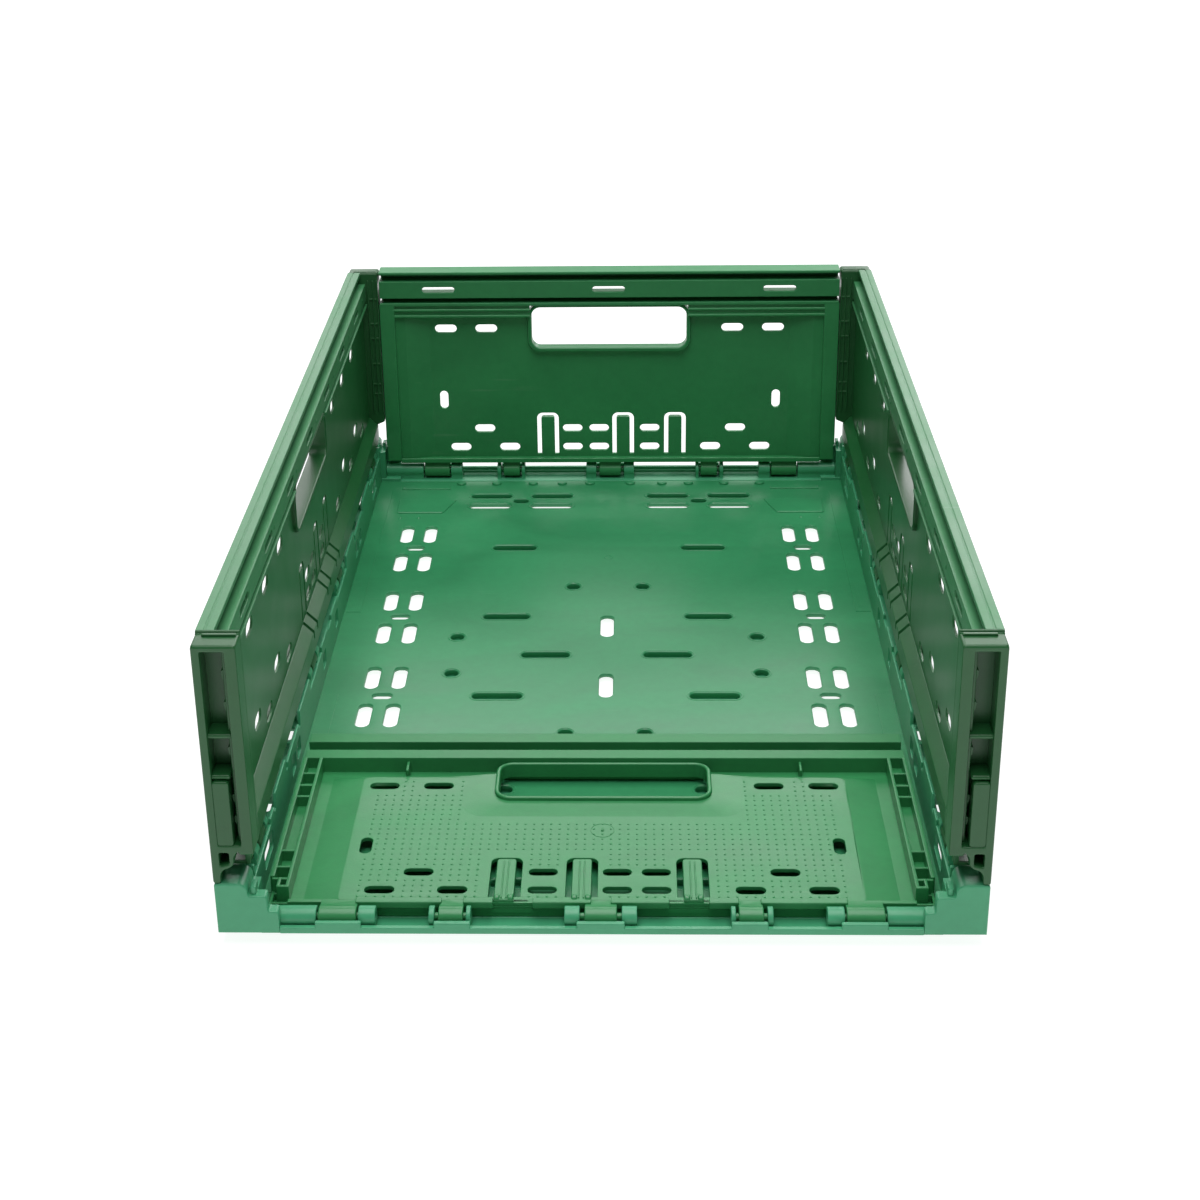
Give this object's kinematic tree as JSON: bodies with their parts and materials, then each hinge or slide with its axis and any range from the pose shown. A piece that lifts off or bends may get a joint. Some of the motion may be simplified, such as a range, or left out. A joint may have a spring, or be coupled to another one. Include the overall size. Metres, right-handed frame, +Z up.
{
  "type": "collapsible storage crate",
  "caption": "Green folding plastic crate with slotted floor and walls, hinged along its base; one short wall lies folded on the floor, the others stand.",
  "frame": {"origin": "middle of the footprint, on the surface the crate stands on", "axes": "+X to the right across the 400 mm width, +Y along the 600 mm length from the folded short wall to the standing one, +Z up"},
  "size_m": [0.4, 0.6, 0.18],
  "materials": {
    "floor_green": "satin moulded polypropylene, opaque green",
    "base_green": "satin moulded polypropylene, opaque green",
    "panel_green": "satin moulded polypropylene, opaque green",
    "rim_green": "satin moulded polypropylene, opaque green",
    "rib_green": "satin moulded polypropylene, opaque green"
  },
  "bodies": {
    "base": {"floor": "floor_green", "foot_right": "base_green", "foot_left": "base_green", "foot_far": "base_green", "foot_near": "base_green", "end_rail_far": "base_green", "corner_far_right": "base_green", "corner_far_left": "base_green", "end_rail_near": "base_green", "corner_near_left": "base_green", "corner_near_right": "base_green", "side_rail_right": "base_green", "side_rail_left": "base_green"},
    "near_wall": {"near_panel": "panel_green", "near_shoulder_right": "panel_green", "near_shoulder_left": "panel_green", "near_handle_frame": "panel_green", "near_rim": "rim_green", "near_side_right": "panel_green", "near_side_left": "panel_green", "near_hinge_strip": "panel_green"},
    "far_wall": {"far_panel": "panel_green", "far_shoulder_right": "panel_green", "far_shoulder_left": "panel_green", "far_handle_frame": "panel_green", "far_rim": "rim_green", "far_side_right": "panel_green", "far_side_left": "panel_green", "far_hinge_strip": "panel_green"},
    "left_wall": {"left_panel": "panel_green", "left_shoulder_far": "panel_green", "left_shoulder_near": "panel_green", "left_handle_frame": "rib_green", "left_rim": "rim_green", "left_post_far": "rib_green", "left_post_near": "rib_green", "left_hinge_strip": "rib_green"},
    "right_wall": {"right_panel": "panel_green", "right_shoulder_far": "panel_green", "right_shoulder_near": "panel_green", "right_handle_frame": "rib_green", "right_rim": "rim_green", "right_post_far": "rib_green", "right_post_near": "rib_green", "right_hinge_strip": "rib_green"}
  },
  "joints": [
    {"name": "near_wall_fold", "type": "hinge", "parent": "base", "child": "near_wall", "pos_m": [0, -0.291, 0.013], "axis": [-1, 0, 0], "range_deg": [-90, 0]},
    {"name": "far_wall_fold", "type": "hinge", "parent": "base", "child": "far_wall", "pos_m": [0, 0.291, 0.013], "axis": [1, 0, 0], "range_deg": [0, 90]},
    {"name": "left_wall_fold", "type": "hinge", "parent": "base", "child": "left_wall", "pos_m": [-0.188, 0, 0.034], "axis": [0, 1, 0], "range_deg": [0, 90]},
    {"name": "right_wall_fold", "type": "hinge", "parent": "base", "child": "right_wall", "pos_m": [0.188, 0, 0.034], "axis": [0, -1, 0], "range_deg": [0, 90]}
  ],
  "couplings": [
    {"joint": "left_wall_fold", "follows": "far_wall_fold", "ratio": 0.001},
    {"joint": "right_wall_fold", "follows": "far_wall_fold", "ratio": 0.001}
  ]
}
